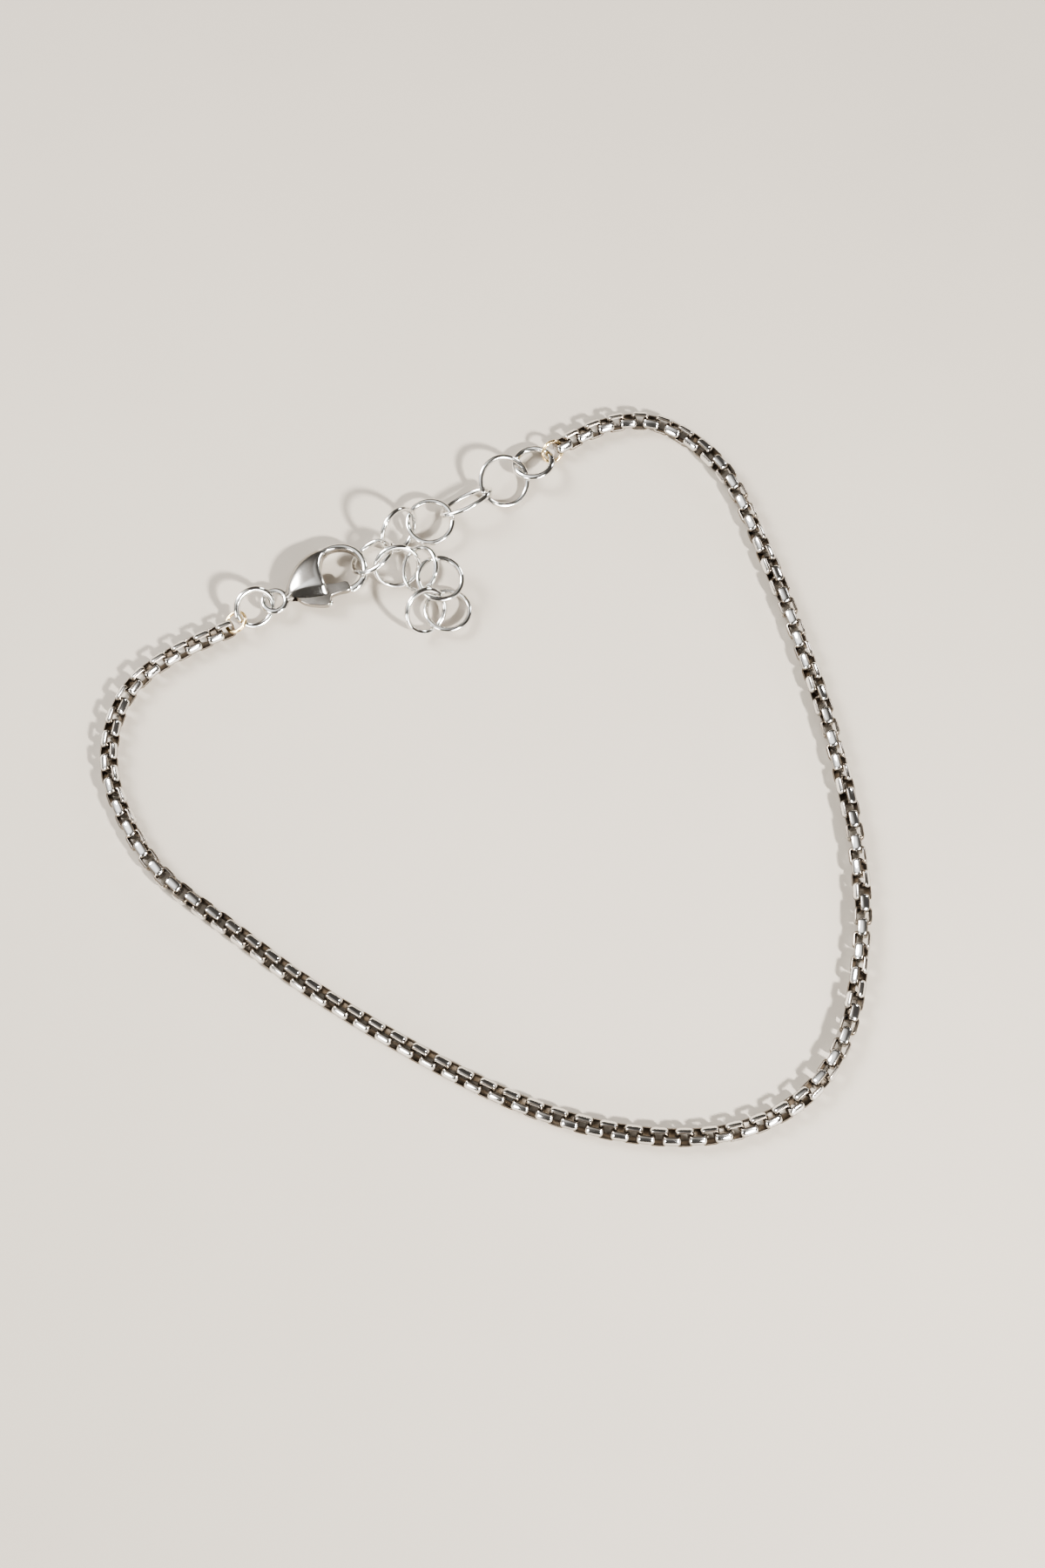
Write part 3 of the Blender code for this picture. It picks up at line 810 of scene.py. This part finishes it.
    def body_shell(self) -> Shell:
        """Closed shell of the body: its skin, the rounded rim of its mouth, the mouth's wall and the slot inside.

        Rows run from the tail to where each meets the mouth, found by halving an interval. The rim is a quarter
        circle between the skin and the wall. Every ring of rows then closes through the slot's inner face.

        Returns:
            Points, faces and the painted shade.
        """
        rows, columns = self.shell_rows, self.shell_columns
        arc_rows, wall_rows = self.rim_rows, self.wall_rows
        t = np.linspace(-1, 1, columns)
        low, high = np.full(columns, 2.4), np.full(columns, self.end)
        for _ in range(40):
            middle = (low + high) / 2
            short = middle < self.mouth_at(self.skin(middle, t)[0])
            low, high = np.where(short, middle, low), np.where(short, high, middle)
        stop = (low + high) / 2
        share = np.linspace(0, 1, rows) ** self.shell_ease
        x = self.start + (stop - self.rim_share * self.rim - self.start)[None, :] * share[:, None]
        y, z = self.skin(x, np.broadcast_to(t, x.shape))
        skin = np.stack((x, y, z), axis=-1)
        y_end, z_end = self.skin(stop, t)
        edge = np.stack((stop, y_end, z_end), axis=-1)
        back = np.stack((stop - 0.05, *self.skin(stop - 0.05, t)), axis=-1)
        run = unit(edge - back)
        border = unit(np.gradient(edge, axis=0))
        normal = unit(np.cross(run, border))
        normal *= np.sign(np.sum(normal * (edge - self.inside), axis=1, keepdims=True))
        inward = unit(np.cross(normal, border))
        inward *= -np.sign(np.sum(inward * run, axis=1, keepdims=True))
        tangent = unit(np.stack((np.gradient(self.mouth_at(y_end), y_end + 1e-9 * np.arange(columns)),
                                 np.ones(columns), np.zeros(columns)), axis=-1))
        wall = unit(np.cross(tangent, (0.0, 0.0, 1.0)))
        down = unit(-normal + np.sum(normal * wall, axis=1, keepdims=True) * wall)
        phi = np.linspace(0, math.pi / 2, arc_rows)[:, None, None]
        rim = edge + self.rim * (inward * (1 - np.sin(phi)) + down * (1 - np.cos(phi)))
        rows_in = np.asarray(self.sections)
        lower_x, upper_x = natural_spline(rows_in[:, 0], rows_in[:, 1:3], x.ravel()).T.reshape(2, *x.shape)
        top = lower_x + 0.02 + (self.slot_top - lower_x - 0.02) * eased((x - 0.30) / 0.5)
        inner_y = np.minimum(y + 0.04, top)
        far = np.clip((y - top) / (upper_x - top), 0, 1)
        inner_x = np.minimum(x, self.mouth_at(inner_y) - 0.02)
        inner = np.stack((inner_x, inner_y, np.sign(t) * self.gap(x) * (1 - far)), axis=-1)
        r = np.linspace(0, 1, wall_rows + 1)[1:-1, None]
        wall_y = rim[-1, :, 1] + (inner[-1, :, 1] - rim[-1, :, 1]) * r
        wall_z = rim[-1, :, 2] + (inner[-1, :, 2] - rim[-1, :, 2]) * r
        mouth_wall = np.stack((self.mouth_at(wall_y), wall_y, wall_z), axis=-1)
        inner_last = inner[-1].copy()
        inner_last[:, 0] = self.mouth_at(inner_last[:, 1])
        inner = np.concatenate((inner, inner_last[None]))
        loop = np.concatenate((skin, rim, mouth_wall, inner[::-1]))
        faces = grid_faces(len(loop), columns, wrap_rows=True, wrap_columns=False)
        count = len(loop)
        row = np.arange(rows - 1)
        side_quads = np.stack((row, row + 1, count - 2 - row, count - 1 - row), axis=1) * columns
        mouth_side = np.arange(rows - 1, count - rows + 1) * columns
        for side in (0, columns - 1):
            faces += (side_quads + side).tolist() + [(mouth_side + side).tolist()]
        shade = np.zeros((count, columns))
        # Painted dark reflection on the upper face, clear of the bevel and the rim, which is also rougher there
        satin_reflection_face = eased((y - (lower_x + upper_x) / 2 + 0.62) / 0.25) * eased((stop - x - 1.9 * self.rim) / 0.25)
        shade[:rows] = self.satin_and_painted_reflection * satin_reflection_face
        # Painted shade inside the mouth and the slot
        slot_rows = rows + arc_rows + wall_rows - 1
        shade[rows + arc_rows:slot_rows] = self.wall_shade
        shade[slot_rows:] = self.slot_shade
        return loop.reshape(-1, 3), faces, shade.ravel()

    def claw_wire(self) -> Shell:
        """Oval carried along the bent wire, whose free end closes over a quarter circle.

        Returns:
            Points, faces and the painted shade.
        """
        path = np.asarray(self.claw)
        fine = smooth_path(path, self.claw_rows)[0]
        heading = unit(np.gradient(fine[:, :2], axis=0))
        side = np.column_stack((-heading[:, 1], heading[:, 0]))
        cap = np.linspace(0, math.pi / 2, 9)[1:]
        end, sides = fine[-1], self.claw_sides
        cap_centre = end[:2] + heading[-1] * (self.claw_cap * np.sin(cap)[:, None])
        centre = np.concatenate((fine[:, :2], cap_centre))
        side = np.concatenate((side, np.repeat(side[-1:], len(cap), axis=0)))
        shrink = np.concatenate((np.ones(len(fine)), np.maximum(np.cos(cap), 0.02)))
        width = np.concatenate((fine[:, 2], np.full(len(cap), end[2]))) * shrink
        thick = np.concatenate((fine[:, 3], np.full(len(cap), end[3]))) * shrink
        turn = np.linspace(0, 2 * math.pi, sides, endpoint=False)
        bulge = np.sign(np.cos(turn)) * np.abs(np.cos(turn)) ** self.claw_squareness
        flat = centre[:, None, :] + side[:, None, :] * (width[:, None] * bulge[None, :])[..., None]
        grid = np.concatenate((flat, (thick[:, None] * np.sin(turn)[None, :])[..., None]), axis=-1)
        # Painted shadow on the claw wire's inner side
        inside = np.clip(-bulge, 0, 1)[None, :] * np.ones((len(grid), 1))
        return grid.reshape(-1, 3), capped_faces(len(grid), sides), (self.claw_shade * inside ** 1.5).ravel()

    def tail_eye(self) -> Shell:
        """Round wire eye at the clasp's tail, turned a little about the clasp's length.

        Returns:
            Points, faces and the painted shade.
        """
        ring = WireRing(
            "tail_eye", self.eye_outer, self.eye_wire, (0.0, 0.0, 0.0), out_of_round=0.0, seam_swelling=0.0,
        )
        grid, shade = ring.points()
        tilt = np.array(Matrix.Rotation(math.radians(self.eye_tilt), 3, "X"))
        points = grid.reshape(-1, 3) @ tilt.T + (*self.eye_centre, 0.0)
        # Painted shade on the eye's inner side
        return points, grid_faces(ring.steps, ring.wire_steps, wrap_rows=True), self.eye_shade * shade.ravel()

    def lever(self) -> Shell:
        """Trigger plate: its outline drawn in by a quarter circle toward both faces.

        Returns:
            Points, faces and the painted shade.
        """
        corners = np.asarray(self.trigger)
        closed = np.concatenate((corners[-3:], corners, corners[:4]))
        at = np.concatenate(([0.0], np.cumsum(np.linalg.norm(np.diff(closed, axis=0), axis=1))))
        even = np.linspace(at[3], at[3 + len(corners)], self.trigger_sides, endpoint=False)
        outline = natural_spline(at, closed, even)
        around = unit(np.roll(outline, -1, axis=0) - np.roll(outline, 1, axis=0))
        outward = np.column_stack((around[:, 1], -around[:, 0]))
        after = np.roll(outline, -1, axis=0)
        outward *= np.sign(np.sum(outline[:, 0] * after[:, 1] - after[:, 0] * outline[:, 1]))
        phi = np.linspace(-math.pi / 2, math.pi / 2, self.trigger_rows)
        edge, half = self.trigger_edge, self.trigger_thickness / 2
        drawn_in = edge * (1 - np.cos(phi))
        high = np.sign(phi) * (half - edge) + edge * np.sin(phi)
        flat = outline[None] - outward[None] * drawn_in[:, None, None]
        grid = np.concatenate((flat, np.broadcast_to(high[:, None, None], (*flat.shape[:2], 1))), axis=-1)
        # Painted dark reflection over the trigger, with more painted shade inside the slot
        hidden = eased((2.6 - grid[..., 0]) / 1.4) * eased((grid[..., 1] + 0.9) / 0.5)
        shade = self.trigger_reflection_shade + self.hidden_shade * hidden
        return grid.reshape(-1, 3), capped_faces(len(grid), len(outline)), shade.ravel()

    def knob(self) -> Shell:
        """Thumb knob: a ball of rows of latitude with one vertex at each pole.

        Returns:
            Points, faces and the painted shade, which is none.
        """
        rows, sides = self.knob_rows, self.knob_sides
        latitude = np.linspace(-math.pi / 2, math.pi / 2, rows + 2)[1:-1, None]
        turn = np.linspace(0, 2 * math.pi, sides, endpoint=False)[None, :]
        ball = np.stack(np.broadcast_arrays(
            np.cos(latitude) * np.cos(turn), np.cos(latitude) * np.sin(turn), np.sin(latitude),
        ), axis=-1).reshape(-1, 3)
        points = np.concatenate((ball, [[0, 0, -1.0], [0, 0, 1.0]])) * self.knob_diameter / 2
        count = rows * sides
        faces = grid_faces(rows, sides)
        faces += [[(k + 1) % sides, k, count] for k in range(sides)]
        faces += [[count - sides + k, count - sides + (k + 1) % sides, count + 1] for k in range(sides)]
        return points + (*self.knob_centre, 0.0), faces, np.zeros(len(points))

    def joined(self, parts: list[Shell]) -> Shell:
        """Put several closed shells into one, and the clasp in its place among the tables' points.

        Args:
            parts: shells in the clasp's own frame.

        Returns:
            One shell for all of them, in the tables' frame.
        """
        points, faces, shades, first = [], [], [], 0
        for shell, quads, shade in parts:
            points.append(shell)
            shades.append(shade)
            faces += [[first + number for number in face] for face in quads]
            first += len(shell)
        return self.placed(np.concatenate(points)), faces, np.concatenate(shades)

    def build(self, wardrobe: Wardrobe) -> list[bpy.types.Object]:
        """Build the solid half of the clasp and the trigger.

        Args:
            wardrobe: dresses both.

        Returns:
            The two pieces.
        """
        solid = self.joined([self.body_shell(), self.claw_wire(), self.tail_eye()])
        lever = self.joined([self.lever(), self.knob()])
        pieces = (
            ("clasp_body_and_claw", solid, Body.BRACELET, "clasp_body"),
            ("clasp_trigger_lever", lever, Body.TRIGGER, "clasp_trigger"),
        )
        return [
            wardrobe.piece(name, shell, Finish.POLISHED, body, node, self.sharp_angle)
            for name, shell, body, node in pieces
        ]


@dataclass
class Lamp:
    """One soft box: a round area light aimed at the bracelet, in metres and watts."""

    name: str
    place: Row
    size: float
    power: float
    colour: Row = (1.0, 1.0, 1.0)
    spread: float = 60.0                # of its beam, so that the far table doesn't shine in the silver

    def build(self) -> bpy.types.Object:
        """Make the light.

        Returns:
            The light's object.
        """
        light = bpy.data.lights.new(self.name, "AREA")
        light.shape, light.size, light.energy, light.color = "DISK", self.size, self.power, self.colour
        light.spread = math.radians(self.spread)
        item = bpy.data.objects.new(self.name, light)
        item.location = self.place
        item.rotation_euler = (-Vector(self.place)).to_track_quat("-Z", "Y").to_euler()
        bpy.context.scene.collection.objects.link(item)
        return item


@dataclass
class Studio:
    """Pale table, soft boxes, the room's light and the camera."""

    table_size: float = 3.0
    table_drop: float = 0.00002         # of the table under the bracelet's underside
    table_colour: Row = (0.37, 0.33, 0.28)
    table_grain: tuple[float, float] = (0.96, 1.03)     # darkest and lightest share of that colour
    table_grain_scale: float = 60.0
    table_grain_detail: float = 5.0
    table_roughness: float = 0.62
    table_gloss: float = 0.25
    camera_place: Row = (0.003325, -0.07262, 0.21877)
    camera_pitch: float = 18.0
    lens: float = 63.0
    film_height: float = 36.0
    clip: tuple[float, float] = (0.005, 10.0)
    window_direction: Row = (-0.58, 0.10, 0.81)         # toward the room's bright side
    room_strength: float = 1.7
    # The room's light from the side away from the window, 0, to the window itself, 1
    room_stops: tuple[tuple, ...] = (
        (0.00, (0.08, 0.07, 0.065, 1)), (0.55, (0.04, 0.037, 0.034, 1)), (0.80, (0.06, 0.056, 0.052, 1)),
        (0.90, (0.34, 0.335, 0.325, 1)), (0.96, (0.85, 0.855, 0.86, 1)), (1.00, (1.0, 1.0, 1.0, 1)),
    )
    lamps: list[Lamp] = field(default_factory=lambda: [
        Lamp("window_left", (-0.46, 0.24, 0.42), 0.30, 1.0, (0.97, 0.985, 1.0)),
        Lamp("window_front_left", (-0.36, -0.46, 0.16), 0.24, 0.5, (1.0, 1.0, 0.99), 90.0),
        Lamp("window_front", (0.28, -0.53, 0.17), 0.26, 0.5, (1.0, 0.995, 0.98), 90.0),
        Lamp("window_back_right", (0.42, 0.34, 0.24), 0.12, 0.25, (0.98, 0.99, 1.0), 90.0),
        Lamp("glint_front_right", (0.30, -0.26, 0.30), 0.045, 0.9, (1.0, 0.99, 0.97)),
    ])

    def table(self) -> bpy.types.Object:
        """Flat pale table top, just under the bracelet.

        Returns:
            The table top.
        """
        half = self.table_size / 2
        mesh = bpy.data.meshes.new("table_top")
        corners = [(x * half, y * half, -self.table_drop) for x, y in ((-1, -1), (1, -1), (1, 1), (-1, 1))]
        mesh.from_pydata(corners, [], [(0, 1, 2, 3)])
        item = bpy.data.objects.new("table_top", mesh)
        bpy.context.scene.collection.objects.link(item)
        material = bpy.data.materials.new("pale_table")
        material.use_nodes = True
        maker = NodeMaker(material.node_tree)
        shader = material.node_tree.nodes["Principled BSDF"]
        shader.inputs["Roughness"].default_value = self.table_roughness
        shader.inputs["Specular IOR Level"].default_value = self.table_gloss
        grain = maker.mottle(self.table_grain_scale, self.table_grain_detail)
        deep, pale = (tuple(channel * share for channel in self.table_colour) for share in self.table_grain)
        colour = maker.blend(grain, deep, pale)
        material.node_tree.links.new(colour.socket, shader.inputs["Base Color"])
        mesh.materials.append(material)
        return item

    def room(self) -> None:
        """Room light: a ramp on the cosine of the angle between a direction and the window's."""
        world = bpy.data.worlds.new("room")
        bpy.context.scene.world = world
        world.use_nodes = True
        maker = NodeMaker(world.node_tree)
        direction = maker.add("ShaderNodeTexCoord", {}, {}, "Generated")
        x, y, z = (maker.add("ShaderNodeSeparateXYZ", {}, {"Vector": direction}, axis) for axis in "XYZ")
        east, north, height = self.window_direction
        toward = east * x + north * y + height * z
        light = maker.add(
            "ShaderNodeValToRGB", {"stops": self.room_stops}, {0: 0.5 + 0.5 * toward}, "Color",
        )
        background = world.node_tree.nodes["Background"]
        background.inputs["Strength"].default_value = self.room_strength
        world.node_tree.links.new(light.socket, background.inputs["Color"])

    def picture(self) -> None:
        """Set the picture's contrast."""
        view = bpy.context.scene.view_settings
        view.view_transform = "AgX"
        view.look = "AgX - Medium High Contrast"

    def camera(self) -> bpy.types.Object:
        """Camera at the photograph's angle, looking down from the front.

        Returns:
            The camera.
        """
        data = bpy.data.cameras.new("camera")
        data.sensor_fit, data.sensor_height, data.lens = "VERTICAL", self.film_height, self.lens
        data.clip_start, data.clip_end = self.clip
        item = bpy.data.objects.new("camera", data)
        item.location = self.camera_place
        item.rotation_euler = (math.radians(self.camera_pitch), 0.0, 0.0)
        bpy.context.scene.collection.objects.link(item)
        bpy.context.scene.camera = item
        return item

    def build(self) -> None:
        """Set up the table, the room, the lamps and the camera."""
        self.table()
        self.room()
        for lamp in self.lamps:
            lamp.build()
        self.picture()
        self.camera()


def main() -> None:
    """Build the bracelet's pieces in order, then the studio."""
    logging.basicConfig(level=logging.INFO, format="%(name)s: %(message)s")
    Studio().build()
    wardrobe = Wardrobe()
    BoxChain().build(wardrobe)
    RingSet().build(wardrobe)
    LobsterClasp().build(wardrobe)


if __name__ == "__main__":
    main()
